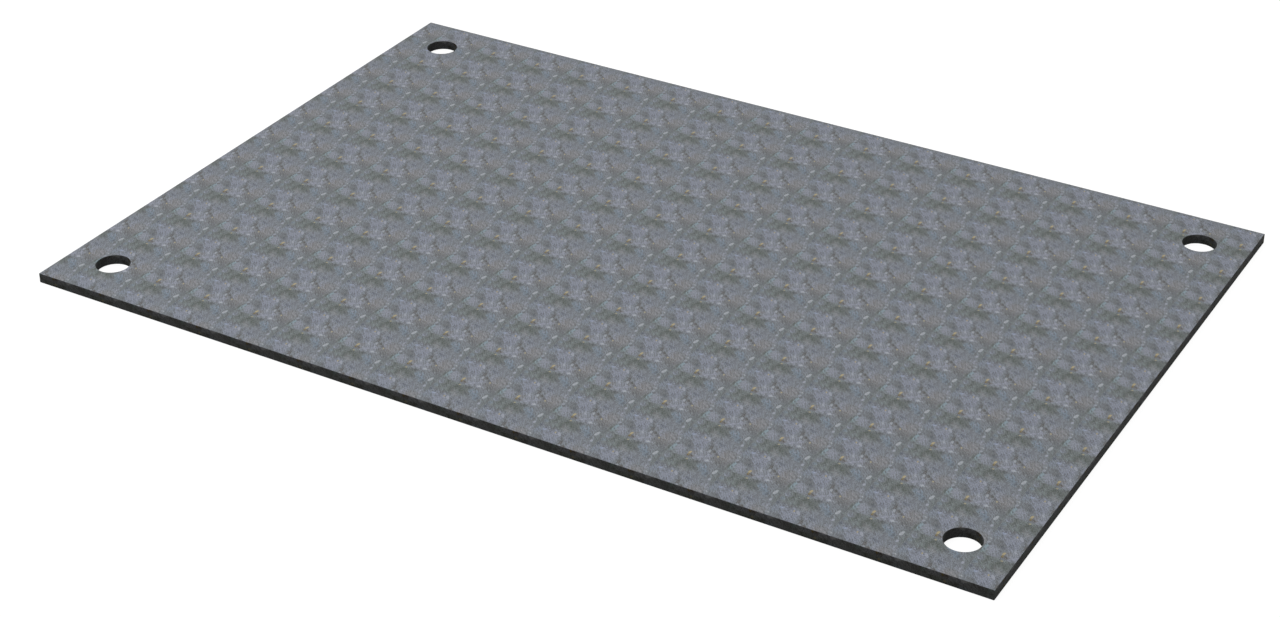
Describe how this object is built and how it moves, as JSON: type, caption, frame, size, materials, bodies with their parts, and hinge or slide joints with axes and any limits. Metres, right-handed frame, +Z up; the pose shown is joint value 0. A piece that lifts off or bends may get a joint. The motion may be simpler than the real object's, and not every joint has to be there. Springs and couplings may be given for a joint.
{
  "type": "steel road plate",
  "caption": "Flat rectangular plate of thick rolled steel with a round lifting hole near each corner, laid over a road opening or soft ground.",
  "frame": {"origin": "middle of the underside, on the surface that the plate lies on", "axes": "+X along the length, +Y along the width, +Z up through the thickness"},
  "size_m": [3, 2, 0.03],
  "materials": {
    "mill_steel": "hot-rolled mill finish, mottled blue and green grey with rust specks, and near-black cut edges"
  },
  "bodies": {
    "root": {"road_plate": "mill_steel"}
  },
  "joints": []
}
